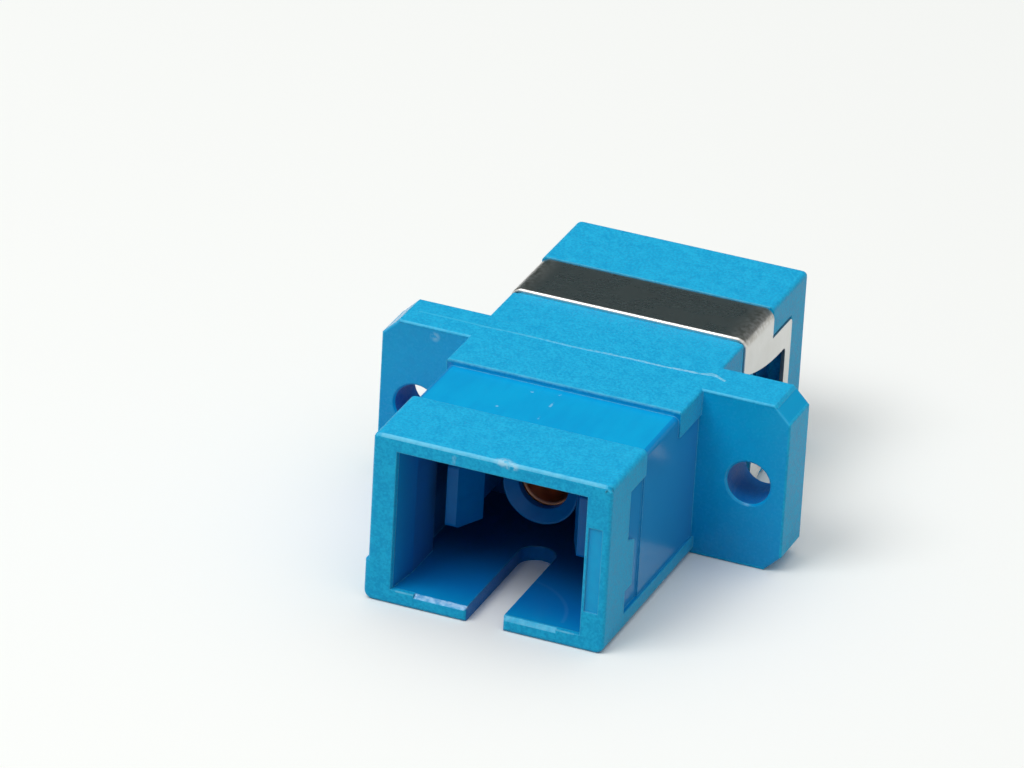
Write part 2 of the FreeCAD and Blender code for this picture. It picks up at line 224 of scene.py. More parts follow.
def build_mould_grain(name):
    """Spark-eroded mould grain: fine pits and mottled pale flecks, gathered in loose patches."""
    tree, inside, result = new_group(
        name,
        [("Colour", "Color", (0, 0.3, 0.7, 1)), ("Fleck Colour", "Color", (0.05, 0.4, 0.8, 1)),
         ("Grain Size", "Float", 0.0002)],
        [("Colour", "Color"), ("Roughness", "Float"), ("Height", "Float")])
    patches_to_flecks = 0.18
    pits_to_flecks = 1.7
    patch_share = 0.25
    pit_share = 0.45
    pit_roughness = 0.44
    fleck_roughness = 0.60
    place = object_place(tree)
    scale = math_node(tree, "DIVIDE", 1.0, inside["Grain Size"])
    flecks = noise(tree, place, scale, 3.0, 0.6)
    patches = noise(tree, place, times(tree, scale, patches_to_flecks), 2.0, 0.6)
    pits = noise(tree, place, times(tree, scale, pits_to_flecks), 2.0, 0.6)
    fleck_mask = fade(tree, mix_values(tree, patch_share, flecks, patches), 0.39, 0.61)
    colour = mix_colours(tree, fleck_mask, inside["Colour"], inside["Fleck Colour"])
    roughness = mix_values(tree, fleck_mask, pit_roughness, fleck_roughness)
    tree.links.new(colour, result["Colour"])
    tree.links.new(roughness, result["Roughness"])
    tree.links.new(mix_values(tree, pit_share, flecks, pits), result["Height"])
    return tree


def build_mould_polish(name):
    """The polished part of a mould: slow changes of shade with faint flow lines along the
    barrel and a little haze."""
    tree, inside, result = new_group(
        name,
        [("Colour", "Color", (0, 0.3, 0.7, 1)), ("Deep Colour", "Color", (0, 0.2, 0.6, 1)),
         ("Roughness", "Float", 0.25)],
        [("Colour", "Color"), ("Roughness", "Float"), ("Height", "Float")])
    slow_scale = 260.0
    flow_scale = 2200.0
    haze_scale = 3400.0
    along_barrel = (1.0, 0.18, 1.0)
    flow_share = 0.4
    haze_span = 0.10
    place = object_place(tree)
    slow = noise(tree, place, slow_scale)
    flow = noise(tree, vector_node(tree, "MULTIPLY", place, along_barrel), flow_scale)
    haze = noise(tree, place, haze_scale)
    deeper = fade(tree, mix_values(tree, flow_share, slow, flow), 0.35, 0.7)
    colour = mix_colours(tree, deeper, inside["Colour"], inside["Deep Colour"])
    tree.links.new(colour, result["Colour"])
    tree.links.new(varied(tree, inside["Roughness"], haze, haze_span), result["Roughness"])
    tree.links.new(flow, result["Height"])
    return tree


def build_rim_wear_and_highlight(name):
    """Outer edges paled partly as wear and partly as painted highlight, broken up by noise: where
    a rounded normal turns away from the surface's own, and where a top edge slopes forwards, which
    is painted highlight only. The weld in the flange is left out."""
    tree, inside, result = new_group(
        name,
        [("Radius", "Float", 0.00008), ("Break Up", "Float", 0.5)],
        [("Mask", "Float"), ("Normal", "Vector")])
    gap_scale = 2300.0
    # Top edges that face this way mirror the soft box towards the camera; they get a painted
    # highlight
    forwards_and_up = (0.0, -0.7071, 0.7071)
    rounded = add_node(tree, "ShaderNodeBevel", {"Radius": inside["Radius"]}, samples=6)
    own = add_node(tree, "ShaderNodeNewGeometry").outputs["Normal"]
    agreement = vector_node(tree, "DOT_PRODUCT", rounded.outputs[0], own, output="Value")
    _, along, up = coordinates(tree)
    from_weld = math_node(tree, "ABSOLUTE", math_node(tree, "SUBTRACT", along, WELD_Y))
    off_weld = fade(tree, from_weld, 0.12 * MM, 0.2 * MM)
    turned = times(tree, fade(tree, agreement, 0.97, 0.80), off_weld)
    slope = vector_node(tree, "DOT_PRODUCT", own, forwards_and_up, output="Value")
    near_top = fade(tree, up, 2.0 * MM, 3.0 * MM)
    top_edge_highlight = times(tree, fade(tree, slope, 0.78, 0.93), near_top)
    gaps = noise(tree, object_place(tree), gap_scale, 3.0, 0.6)
    patchy = mix_values(tree, inside["Break Up"], 1.0, fade(tree, gaps, 0.36, 0.60))
    # The mask pales edges partly as wear and partly as painted highlight
    mask = times(tree, math_node(tree, "MAXIMUM", turned, top_edge_highlight), patchy)
    tree.links.new(mask, result["Mask"])
    normal = add_node(tree, "ShaderNodeMix", {0: off_weld, 4: own, 5: rounded.outputs[0]},
                      data_type="VECTOR")
    tree.links.new(normal.outputs[1], result["Normal"])
    return tree


def build_rub_mark(name):
    """One rubbed spot: an ellipsoid of a set reach that fades at its rim and is speckled."""
    tree, inside, result = new_group(
        name,
        [("Place", "Vector", (0, 0, 0)), ("Reach", "Vector", (0.001, 0.001, 0.001)),
         ("Speckle Scale", "Float", 3200.0)],
        [("Mask", "Float")])
    place = object_place(tree)
    offset = vector_node(tree, "SUBTRACT", place, inside["Place"])
    share_of_reach = vector_node(tree, "DIVIDE", offset, inside["Reach"])
    distance = vector_node(tree, "LENGTH", share_of_reach, output="Value")
    falloff = fade(tree, distance, 0.25, 1.0, 1.0, 0.0)
    speckle = fade(tree, noise(tree, place, inside["Speckle Scale"], 3.0, 0.6), 0.38, 0.56)
    tree.links.new(times(tree, falloff, speckle), result["Mask"])
    return tree


def build_drawn_metal(name):
    """Rolled or drawn metal: noise stretched along the grain, with broad dull patches."""
    tree, inside, result = new_group(
        name,
        [("Colour", "Color", (0.5, 0.5, 0.5, 1)), ("Dull Colour", "Color", (0.4, 0.4, 0.35, 1)),
         ("Streak Scale", "Vector", (1.0, 0.05, 0.05)), ("Streak Size", "Float", 0.00005),
         ("Roughness", "Float", 0.3)],
        [("Colour", "Color"), ("Roughness", "Float")])
    patch_scale = 600.0
    patch_haze = 0.02
    streak_span = 0.05
    place = object_place(tree)
    stretched = vector_node(tree, "MULTIPLY", place, inside["Streak Scale"])
    scale = math_node(tree, "DIVIDE", 1.0, inside["Streak Size"])
    streaks = noise(tree, stretched, scale, 1.0)
    dull = fade(tree, noise(tree, place, patch_scale), 0.35, 0.70)
    colour = mix_colours(tree, dull, inside["Colour"], inside["Dull Colour"])
    hazed = math_node(tree, "ADD", inside["Roughness"], times(tree, dull, patch_haze))
    tree.links.new(colour, result["Colour"])
    tree.links.new(varied(tree, hazed, streaks, streak_span), result["Roughness"])
    return tree


# Masks of the part's places

def box_zone(tree, low, high, softness=0.02 * MM):
    """The mask of a box between two corners."""
    middle = [(a + b) / 2 for a, b in zip(low, high)]
    half = [(b - a) / 2 for a, b in zip(low, high)]
    group = once("box_zone", build_box_zone)
    return place_group(tree, group, Centre=middle, Half_Size=half, Softness=softness)["Mask"]


def highest(tree, values):
    """The greatest of several values."""
    greatest = values[0]
    for value in values[1:]:
        greatest = math_node(tree, "MAXIMUM", greatest, value)
    return greatest


def in_any_box(tree, corners):
    """The mask of several boxes, each given by its two corners in metres."""
    return highest(tree, [box_zone(tree, low, high) for low, high in corners])


def polished_zones(tree):
    """Where the mould was polished: the relieved barrel behind the mouth, both flange faces,
    the insides of both sockets, the bevelled lips where the plugs slide in and the sunk mark
    in the right column."""
    inner_x = SIDE_X - 0.06 * MM
    inner_z = TOP_Z - 0.15 * MM
    socket_x = 5.35 * MM
    socket_z = 4.1 * MM
    lip_z = (LIP_LOW_Z, -3.5 * MM)
    mark_x = (5.18 * MM, 5.9 * MM)
    mark_z = (-2.45 * MM, 2.15 * MM)
    skin = 0.01 * MM
    return in_any_box(tree, [
        ((-inner_x, FRONT_Y + 0.3 * MM, -inner_z), (inner_x, FLANGE_FRONT_Y, inner_z)),
        ((-WING_X, FLANGE_FRONT_Y - skin, -inner_z), (WING_X, skin, inner_z)),
        ((-socket_x, 0.0, -socket_z), (socket_x, REAR_Y - 0.3 * MM, socket_z)),
        ((-LIP_X, FRONT_Y + skin, lip_z[0]), (0.0, FRONT_Y + 0.5 * MM, lip_z[1])),
        ((0.0, REAR_Y - 0.5 * MM, lip_z[0]), (LIP_X, REAR_Y - skin, lip_z[1])),
        ((mark_x[0], FRONT_Y + 2 * skin, mark_z[0]), (mark_x[1], FRONT_Y + 0.2 * MM, mark_z[1])),
    ])


def socket_depths(tree):
    """Two masks of how deep a place lies in either socket: 0 at the mouths and outside, 1 well
    inside for the first and only near the flange for the second. They set where shade is painted
    inside the sockets."""
    socket_x = 5.3 * MM
    socket_z = 4.05 * MM
    inside = box_zone(tree, (-socket_x, FRONT_Y, -socket_z), (socket_x, REAR_Y, socket_z),
                      0.2 * MM)
    along = math_node(tree, "SUBTRACT", coordinates(tree)[1], (FRONT_Y + REAR_Y) / 2)
    from_middle = math_node(tree, "ABSOLUTE", along)
    half_length = (REAR_Y - FRONT_Y) / 2
    deep = fade(tree, from_middle, half_length + 2.0 * MM, half_length - 2.5 * MM)
    deepest = fade(tree, from_middle, half_length - 3.5 * MM, half_length - 7.5 * MM)
    return times(tree, inside, deep), times(tree, inside, deepest)


def inner_walls(tree):
    """The walls of the flange's holes and of both key slots, which the mould left rough and which
    get painted shade.
    """
    hole_x = (7.75 * MM, 10.25 * MM)
    hole_y = (FLANGE_FRONT_Y + 0.1 * MM, -0.1 * MM)
    hole_z = 1.25 * MM
    slot_x = 1.1 * MM
    slot_y = (0.1 * MM, 7.85 * MM)
    slot_z = (-4.7 * MM, -3.85 * MM)
    return in_any_box(tree, [
        ((hole_x[0], hole_y[0], -hole_z), (hole_x[1], hole_y[1], hole_z)),
        ((-hole_x[1], hole_y[0], -hole_z), (-hole_x[0], hole_y[1], hole_z)),
        ((-slot_x, FRONT_Y + slot_y[0], slot_z[0]), (slot_x, FRONT_Y + slot_y[1], slot_z[1])),
        ((-slot_x, REAR_Y - slot_y[1], slot_z[0]), (slot_x, REAR_Y - slot_y[0], slot_z[1])),
    ])


def painted_shade_faces(tree):
    """Where shade is painted: both relieved sides and, growing downwards, the fronts
    of the wings."""
    side_x = (5.9 * MM, 6.28 * MM)
    side_y = (FRONT_Y + 0.4 * MM, FLANGE_FRONT_Y)
    wing_y = (FLANGE_FRONT_Y - 0.02 * MM, FLANGE_FRONT_Y + 0.05 * MM)
    sides = in_any_box(tree, [
        ((side_x[0], side_y[0], -TOP_Z), (side_x[1], side_y[1], TOP_Z)),
        ((-side_x[1], side_y[0], -TOP_Z), (-side_x[0], side_y[1], TOP_Z)),
    ])
    wings = box_zone(tree, (-WING_X, wing_y[0], -TOP_Z), (WING_X, wing_y[1], TOP_Z))
    # The painted shade on the wings' fronts grows darker towards the bottom
    low = fade(tree, coordinates(tree)[2], 3.5 * MM, -TOP_Z, 0.0, 0.8)
    return math_node(tree, "MAXIMUM", sides, times(tree, wings, low))


def painted_edge_highlights(tree):
    """Painted highlights on a few edges, broken up by noise: the top edges of the mouth, the
    collar and the end block, and the sill's edges on both sides of the shiny lip."""
    skin = 0.02 * MM
    mouth_x = 5.9 * MM
    collar_x = 6.2 * MM
    block_x = 6.1 * MM
    sill_x = 4.75 * MM
    key_x = 1.0 * MM
    front = FRONT_Y - skin
    sill_back = FRONT_Y + 0.06 * MM
    sill_z = (-3.87 * MM, -3.78 * MM)
    bevel_z = (-4.01 * MM, -3.79 * MM)
    gap_scale = 1700.0
    mask = in_any_box(tree, [
        ((-mouth_x, front, TOP_Z - 0.15 * MM), (mouth_x, FRONT_Y + 0.17 * MM, TOP_Z)),
        ((-collar_x, COLLAR_Y - skin, TOP_Z - 0.08 * MM), (collar_x, COLLAR_Y + 0.12 * MM, TOP_Z)),
        ((-block_x, BLOCK_Y - skin, BLOCK_Z - 0.08 * MM), (block_x, BLOCK_Y + 0.13 * MM, BLOCK_Z)),
        ((key_x, front, bevel_z[0]), (LIP_X, FRONT_Y + 0.2 * MM, bevel_z[1])),
        ((LIP_X, front, sill_z[0]), (sill_x, sill_back, sill_z[1])),
        ((-sill_x, front, sill_z[0]), (-LIP_X - skin, sill_back, sill_z[1])),
    ])
    gaps = noise(tree, object_place(tree), gap_scale, 3.0, 0.6)
    return times(tree, mask, fade(tree, gaps, 0.30, 0.62, 0.35, 1.0))


def rub_marks(tree):
    """All of the rubbed marks, each as strong as the table says."""
    group = once("rub_mark", build_rub_mark)
    masks = []
    for place, reach, strength in RUB_MARKS:
        spot = place_group(tree, group, Place=[value * MM for value in place],
                           Reach=[value * MM for value in reach])["Mask"]
        masks.append(times(tree, spot, strength))
    return highest(tree, masks)


def flow_arc(tree):
    """The faint arc that the flowing plastic left on the socket's floor: a thin ring about one
    point, kept only near the floor and beside the key slot."""
    floor_z = -3.8 * MM
    middle = (0.2 * MM, -14.1 * MM, floor_z)
    radius = 3.6 * MM
    width = (0.02 * MM, 0.16 * MM)
    offset = vector_node(tree, "SUBTRACT", object_place(tree), middle)
    distance = vector_node(tree, "LENGTH", offset, output="Value")
    off_ring = math_node(tree, "ABSOLUTE", math_node(tree, "SUBTRACT", distance, radius))
    ring = fade(tree, off_ring, width[0], width[1], 1.0, 0.0)
    near_floor = box_zone(tree, (0.9 * MM, -14.0 * MM, floor_z - 0.1 * MM),
                          (4.6 * MM, -10.4 * MM, floor_z + 0.1 * MM))
    return times(tree, ring, near_floor)


def shiny_lip(tree):
    """The bevelled lip that plugs have rubbed smooth, with dull specks."""
    lip = box_zone(tree, (-LIP_X, FRONT_Y + 0.01 * MM, LIP_LOW_Z),
                   (0.0, FRONT_Y + 0.3 * MM, -3.75 * MM))
    speck_scale = 3800.0
    specks = noise(tree, object_place(tree), speck_scale, 3.0, 0.6)
    return times(tree, lip, fade(tree, specks, 0.38, 0.6, 0.15, 1.0))


# Materials

def new_material(name, constants=None):
    """A material, its nodes and its shader, with the inputs that are the same all over."""
    material = bpy.data.materials.new(name)
    material.use_nodes = True
    shader = material.node_tree.nodes["Principled BSDF"]
    for key, value in (constants or {}).items():
        shader.inputs[key].default_value = value
    return material, material.node_tree, shader


def bumped(tree, height, depth, normal):
    node = add_node(tree, "ShaderNodeBump",
                    {"Height": height, "Distance": depth, "Strength": 1.0, "Normal": normal})
    return node.outputs[0]


def connect(tree, shader, colour, roughness, normal):
    tree.links.new(colour, shader.inputs["Base Color"])
    tree.links.new(roughness, shader.inputs["Roughness"])
    tree.links.new(normal, shader.inputs["Normal"])


def rim_wear_and_highlight(tree, radius, break_up):
    return place_group(tree, once("rim_wear_and_highlight", build_rim_wear_and_highlight), Radius=radius,
                       Break_Up=break_up)


def moulded_blues_and_painted_shade(tree, sizes, grain_colour, polish_colour, polished, walls):
    """The grained and the polished blue, with painted shade on the relieved sides, low on the
    wings, inside the sockets and on the walls of the holes and key slots.
    """
    deep, deepest = socket_depths(tree)
    # Painted shade on both relieved sides and low on the wings' fronts
    smooth = mix_colours(tree, painted_shade_faces(tree), polish_colour, opaque(sizes.painted_shade_blue))
    # Painted shade inside the sockets
    smooth = mix_colours(tree, deep, smooth, opaque(sizes.socket_shade_blue))
    colour = mix_colours(tree, polished, grain_colour, smooth)
    # The darkest painted shade, deep in the sockets next to the flange
    colour = mix_colours(tree, deepest, colour, opaque(sizes.deepest_shade_blue))
    # Painted shade on the walls of the flange's holes and of both key slots
    return mix_colours(tree, walls, colour, opaque(sizes.socket_shade_blue))


def with_wear_and_highlights(tree, sizes, colour, rims, marks):
    """A colour under its rims paled as wear and painted highlight, its painted edge highlights,
    the flow arc and the rubbed marks.
    """
    painted_edge_highlight_strength = 0.6
    arc_strength = 0.035
    layers = [
        # Rims paled partly as wear and partly as painted highlight
        (times(tree, rims, sizes.rim_strength), sizes.rim_colour),
        # Painted highlights on a few edges
        (times(tree, painted_edge_highlights(tree), painted_edge_highlight_strength), sizes.painted_edge_highlight),
        (times(tree, flow_arc(tree), arc_strength), sizes.rubbed_colour),
        (marks, sizes.rubbed_colour),
    ]
    for mask, paint in layers:
        colour = mix_colours(tree, mask, colour, opaque(paint))
    return colour


def housing_material(sizes):
    material, tree, shader = new_material("moulded_housing", {
        "Specular IOR Level": 0.18, "Sheen Weight": 0.16, "Sheen Roughness": 0.35,
        "Sheen Tint": (0.75, 0.95, 1.0, 1.0), "Coat Roughness": 0.12})
    mark_strength = 0.9
    mark_roughness = 0.6
    polished_height = 0.06
    polished_coat = 0.08
    grain = place_group(tree, once("mould_grain", build_mould_grain),
                        Colour=opaque(sizes.grain_colour),
                        Fleck_Colour=opaque(sizes.fleck_colour), Grain_Size=sizes.grain_size)
    polish = place_group(tree, once("mould_polish", build_mould_polish),
                         Colour=opaque(sizes.blue), Deep_Colour=opaque(sizes.deep_blue),
                         Roughness=sizes.polished_roughness)
    rims = rim_wear_and_highlight(tree, sizes.rim_radius, 0.45)
    marks = times(tree, rub_marks(tree), mark_strength)
    walls = inner_walls(tree)
    polished = times(tree, polished_zones(tree), math_node(tree, "SUBTRACT", 1.0, walls))
    colour = moulded_blues_and_painted_shade(tree, sizes, grain["Colour"], polish["Colour"], polished, walls)
    colour = with_wear_and_highlights(tree, sizes, colour, rims["Mask"], marks)
    roughness = mix_values(tree, polished, grain["Roughness"], polish["Roughness"])
    roughness = mix_values(tree, marks, roughness, mark_roughness)
    flow_height = times(tree, polish["Height"], polished_height)
    height = mix_values(tree, polished, grain["Height"], flow_height)
    normal = bumped(tree, height, sizes.grain_depth, rims["Normal"])
    connect(tree, shader, colour, roughness, normal)
    coat = math_node(tree, "MAXIMUM", times(tree, polished, polished_coat), shiny_lip(tree))
    tree.links.new(coat, shader.inputs["Coat Weight"])
    return material


def flash_material(sizes):
    """The thin flash has whitened where the weld stretched it."""
    material, tree, shader = new_material("whitened_flash")
    speckle_scale = 5200.0
    bump_depth = 0.01 * MM
    rims = rim_wear_and_highlight(tree, 0.02 * MM, 0.5)
    speckle = noise(tree, object_place(tree), speckle_scale)
    whitened = fade(tree, coordinates(tree)[0], -8.0 * MM, 5.5 * MM, 0.1, 1.0)
    pale = times(tree, fade(tree, speckle, 0.36, 0.62, 0.2, 0.6), whitened)
    colour = mix_colours(tree, pale, opaque(sizes.fleck_colour), opaque(sizes.rubbed_colour))
    roughness = mix_values(tree, speckle, 0.30, 0.50)
    connect(tree, shader, colour, roughness, bumped(tree, speckle, bump_depth, rims["Normal"]))
    return material


def insert_material(sizes):
    material, tree, shader = new_material("moulded_insert", {"Specular IOR Level": 0.22})
    mean_roughness = 0.32
    rim_strength = 0.25
    bump_depth = 0.003 * MM
    # The inserts' colours hold painted shade for their place deep in the sockets
    polish = place_group(tree, once("mould_polish", build_mould_polish),
                         Colour=opaque(sizes.insert_blue_and_shade),
                         Deep_Colour=opaque(sizes.insert_deep_blue_and_shade), Roughness=mean_roughness)
    rims = rim_wear_and_highlight(tree, 0.05 * MM, 0.3)
    # Rims pale towards the housing's blue, partly as wear and partly as painted highlight
    rim_mask = times(tree, rims["Mask"], rim_strength)
    colour = mix_colours(tree, rim_mask, polish["Colour"], opaque(sizes.blue))
    normal = bumped(tree, polish["Height"], bump_depth, rims["Normal"])
    connect(tree, shader, colour, polish["Roughness"], normal)
    return material


def metal_material(name, colour, dull_colour, streak_scale, streak_size, roughness, bright):
    """Bare drawn or rolled metal; the streaks run along the axes with the smaller scales. Its
    edges are paler by a given share, partly as bare cut metal and partly as painted highlight."""
    material, tree, shader = new_material(name, {"Metallic": 1.0})
    # Pale cut metal, which also serves as a painted highlight on the edges
    cut_metal_and_highlight = (0.85, 0.80, 0.76, 1.0)
    metal = place_group(tree, once("drawn_metal", build_drawn_metal), Colour=opaque(colour),
                        Dull_Colour=opaque(dull_colour), Streak_Scale=streak_scale,
                        Streak_Size=streak_size, Roughness=roughness)
    rims = rim_wear_and_highlight(tree, 0.03 * MM, 0.2)
    shade = mix_colours(tree, times(tree, rims["Mask"], bright), metal["Colour"], cut_metal_and_highlight)
    connect(tree, shader, shade, metal["Roughness"], rims["Normal"])
    return material


def dull_the_bends(material):
    """Folding has roughened and speckled the clip's sheet near its two bends."""
    tree = material.node_tree
    shader = tree.nodes["Principled BSDF"]
    speckle_scale = 4200.0
    stained_steel = (0.42, 0.41, 0.37, 1.0)
    smooth = shader.inputs["Roughness"].links[0].from_socket
    plain = shader.inputs["Base Color"].links[0].from_socket
    across, _, up = coordinates(tree)
    bend = fade(tree, math_node(tree, "ABSOLUTE", across), 4.9 * MM, 5.9 * MM)
    speckle = noise(tree, object_place(tree), speckle_scale)
    rough = times(tree, bend, fade(tree, speckle, 0.2, 0.8, 0.05, 0.11))
    tree.links.new(math_node(tree, "ADD", smooth, rough), shader.inputs["Roughness"])
    on_top = times(tree, bend, fade(tree, up, 4.2 * MM, 4.5 * MM))
    stain = times(tree, on_top, fade(tree, speckle, 0.70, 0.30))
    tree.links.new(mix_colours(tree, stain, plain, stained_steel), shader.inputs["Base Color"])


def finish_nodes(names, material):
    """Gives every material slot of the named CAD nodes a finish."""
    for name in names:
        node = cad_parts.get(name)
        if node is None:
            raise RuntimeError(f"the frame has no node named {name}")
        if not node.material_slots:
            node.data.materials.append(material)
        for slot in node.material_slots:
            slot.material = material


# Sizes and colours that a user may change

class HousingFinish(PropertyGroup):
    """Colours and sizes of the moulded housings and inserts, with the colours of their painted
    shade and painted highlights.
    """

    blue: FloatVectorProperty(
        name="Polished Blue", description="Colour of the polished moulded faces",
        subtype="COLOR", size=3, min=0, max=1, default=(0.0, 0.405, 0.760))
    deep_blue: FloatVectorProperty(
        name="Deep Blue", description="The darker shade that the polished faces drift to",
        subtype="COLOR", size=3, min=0, max=1, default=(0.0, 0.355, 0.715))
    grain_colour: FloatVectorProperty(
        name="Grain Blue", description="Colour of the pits of the moulded grain",
        subtype="COLOR", size=3, min=0, max=1, default=(0.0, 0.358, 0.680))
    fleck_colour: FloatVectorProperty(
        name="Fleck Blue", description="Colour of the raised flecks of the moulded grain",
        subtype="COLOR", size=3, min=0, max=1, default=(0.010, 0.474, 0.790))
    # Paler rims, partly wear and partly painted highlight
    rim_colour: FloatVectorProperty(
        name="Rim Blue", description="The paler colour of the outer edges",
        subtype="COLOR", size=3, min=0, max=1, default=(0.10, 0.59, 0.88))
    # Colour of the painted highlight on a few edges
    painted_edge_highlight: FloatVectorProperty(
        name="Pale Edge", description="Colour of the few edges that are rubbed palest",
        subtype="COLOR", size=3, min=0, max=1, default=(0.20, 0.66, 0.90))
    # The inserts' blue, darkened further as painted shade for their place deep in the sockets
    insert_blue_and_shade: FloatVectorProperty(
        name="Insert Blue", description="Colour of the latch inserts",
        subtype="COLOR", size=3, min=0, max=1, default=(0.0, 0.18, 0.49))
    insert_deep_blue_and_shade: FloatVectorProperty(
        name="Insert Deep Blue", description="The darker shade that the inserts drift to",
        subtype="COLOR", size=3, min=0, max=1, default=(0.0, 0.14, 0.43))
    # Painted shade inside the sockets and on the walls of the holes and key slots
    socket_shade_blue: FloatVectorProperty(
        name="Socket Blue", description="Colour of the walls deep inside the sockets",
        subtype="COLOR", size=3, min=0, max=1, default=(0.0, 0.18, 0.53))
    # The darkest painted shade, in the sockets next to the flange
    deepest_shade_blue: FloatVectorProperty(
        name="Deepest Blue", description="Colour of the sockets' walls next to the flange",
        subtype="COLOR", size=3, min=0, max=1, default=(0.0, 0.09, 0.30))
    # Painted shade on the relieved sides and the wings' low fronts
    painted_shade_blue: FloatVectorProperty(
        name="Shaded Blue", description="Colour of the relieved sides and the wings' low fronts",
        subtype="COLOR", size=3, min=0, max=1, default=(0.0, 0.27, 0.64))
    rubbed_colour: FloatVectorProperty(
        name="Rubbed Blue", description="Colour of the few rubbed marks",
        subtype="COLOR", size=3, min=0, max=1, default=(0.38, 0.70, 0.88))
    grain_size: FloatProperty(
        name="Grain Size", description="Width of one fleck of the moulded grain",
        unit="LENGTH", min=0.00002, max=0.002, precision=6, default=0.00014)
    grain_depth: FloatProperty(
        name="Grain Depth", description="How deep the moulded grain is",
        unit="LENGTH", min=0.0, max=0.0005, precision=6, default=0.00003)
    polished_roughness: FloatProperty(
        name="Polished Roughness", description="Roughness of the polished faces",
        subtype="FACTOR", min=0.0, max=1.0, default=0.22)
    rim_radius: FloatProperty(
        name="Rim Radius", description="How far the softened edges reach",
        unit="LENGTH", min=0.00001, max=0.001, precision=6, default=0.00009)
    # How strongly the rims' wear and painted highlight show
    rim_strength: FloatProperty(
        name="Rim Strength", description="How much paler the outer edges are",
        subtype="FACTOR", min=0.0, max=1.0, default=0.75)


class MetalFinish(PropertyGroup):
    """Colours of the two metal pieces."""

    steel: FloatVectorProperty(
        name="Spring Steel", description="Colour of the clip's spring steel",
        subtype="COLOR", size=3, min=0, max=1, default=(0.65, 0.65, 0.635))
    dull_steel: FloatVectorProperty(
        name="Dull Steel", description="The duller shade of the clip's patches",
        subtype="COLOR", size=3, min=0, max=1, default=(0.61, 0.61, 0.59))
    bronze: FloatVectorProperty(
        name="Bronze", description="Colour of the alignment sleeve",
        subtype="COLOR", size=3, min=0, max=1, default=(0.66, 0.31, 0.18))
    dull_bronze: FloatVectorProperty(
        name="Dull Bronze", description="The darker shade of the sleeve's patches",
        subtype="COLOR", size=3, min=0, max=1, default=(0.46, 0.19, 0.10))
    steel_roughness: FloatProperty(
        name="Steel Roughness", description="Mean roughness of the clip",
        subtype="FACTOR", min=0.0, max=1.0, default=0.27)
    bronze_roughness: FloatProperty(
        name="Bronze Roughness", description="Mean roughness of the sleeve",
        subtype="FACTOR", min=0.0, max=1.0, default=0.40)


class WeldFlashSizes(PropertyGroup):
    """Sizes of the thin line of plastic that the weld pressed out of the flange."""

    width: FloatProperty(
        name="Width", description="Width of the line of flash",
        unit="LENGTH", min=0.00001, max=0.001, precision=6, default=0.0002)
    height: FloatProperty(
        name="Height", description="Greatest height of the line of flash",
        unit="LENGTH", min=0.000005, max=0.0002, precision=6, default=0.00006)


class StudioSizes(PropertyGroup):
    """Where the camera stands and how the object is lit."""

    camera_azimuth: FloatProperty(
        name="Azimuth", description="The camera's angle round the object, from the front",
        subtype="ANGLE", default=math.radians(21.01764))
    camera_elevation: FloatProperty(
        name="Elevation", description="The camera's angle above the floor",
        subtype="ANGLE", default=math.radians(26.53417))
    camera_roll: FloatProperty(
        name="Roll", description="How far the camera is turned about its own axis",
        subtype="ANGLE", default=math.radians(3.27855))
    camera_distance: FloatProperty(
        name="Distance", description="From the camera to the point that it aims at",
        unit="LENGTH", min=0.05, max=5.0, precision=4, default=0.404854)
    camera_lens: FloatProperty(
        name="Lens", description="Focal length on a sensor 36 mm wide",
        unit="CAMERA", min=10.0, max=1000.0, default=281.25)
    camera_aim: FloatVectorProperty(
        name="Aim", description="The point at the middle of the picture",
        subtype="TRANSLATION", size=3, precision=5, default=(-0.005215, 0.000808, 0.000576))
    floor_colour: FloatVectorProperty(
        name="Floor", description="Colour of the pale floor",
        subtype="COLOR", size=3, min=0, max=1, default=(0.955, 0.970, 0.947))
    floor_bounce: FloatProperty(
        name="Floor Bounce", description="Share of the floor's light that reaches the object",
        subtype="FACTOR", min=0.0, max=1.0, default=0.72)
    sky_share: FloatProperty(
        name="Surround Light", description="Light on the floor from all round; 1 shows white",
        subtype="FACTOR", min=0.0, max=1.0, default=0.69)
    key_share: FloatProperty(
        name="Key Light", description="Light on the floor from the soft box; 1 shows white",
        subtype="FACTOR", min=0.0, max=1.0, default=0.34)
    key_azimuth: FloatProperty(
        name="Key Azimuth", description="The soft box's angle round the object, from the front",
        subtype="ANGLE", default=math.radians(-36.0))
    key_elevation: FloatProperty(
        name="Key Elevation", description="The soft box's angle above the floor",
        subtype="ANGLE", default=math.radians(56.0))
    key_distance: FloatProperty(
        name="Key Distance", description="From the soft box to the object",
        unit="LENGTH", min=0.1, max=5.0, default=0.6)
    key_size: FloatProperty(
        name="Key Size", description="Side of the square soft box",
        unit="LENGTH", min=0.05, max=2.0, default=0.30)


class AdapterSettings(PropertyGroup):
    """All of the adapter's sizes and colours."""

    housing: PointerProperty(type=HousingFinish, name="Housing")
    metal: PointerProperty(type=MetalFinish, name="Metal")
    flash: PointerProperty(type=WeldFlashSizes, name="Weld Flash")
    studio: PointerProperty(type=StudioSizes, name="Studio")


# Mesh building

def mesh_object(name, points, faces):
    mesh = bpy.data.meshes.new(name)
    mesh.from_pydata(points.tolist(), [], faces)
    mesh.update()
    made = bpy.data.objects.new(name, mesh)
    bpy.context.scene.collection.objects.link(made)
    return made


def closed_strip_faces(rings, around):
    """Quads between rings of points that close on themselves, and one face at each end."""
    ring = np.arange(rings - 1)[:, None] * around
    step = np.arange(around)[None, :]
    following = (step + 1) % around
    quads = np.stack([ring + step, ring + following, ring + around + following,
                      ring + around + step], axis=-1).reshape(-1, 4)
    first_cap = list(range(around))[::-1]
    last_cap = [(rings - 1) * around + index for index in range(around)]
    return quads.tolist() + [first_cap, last_cap]


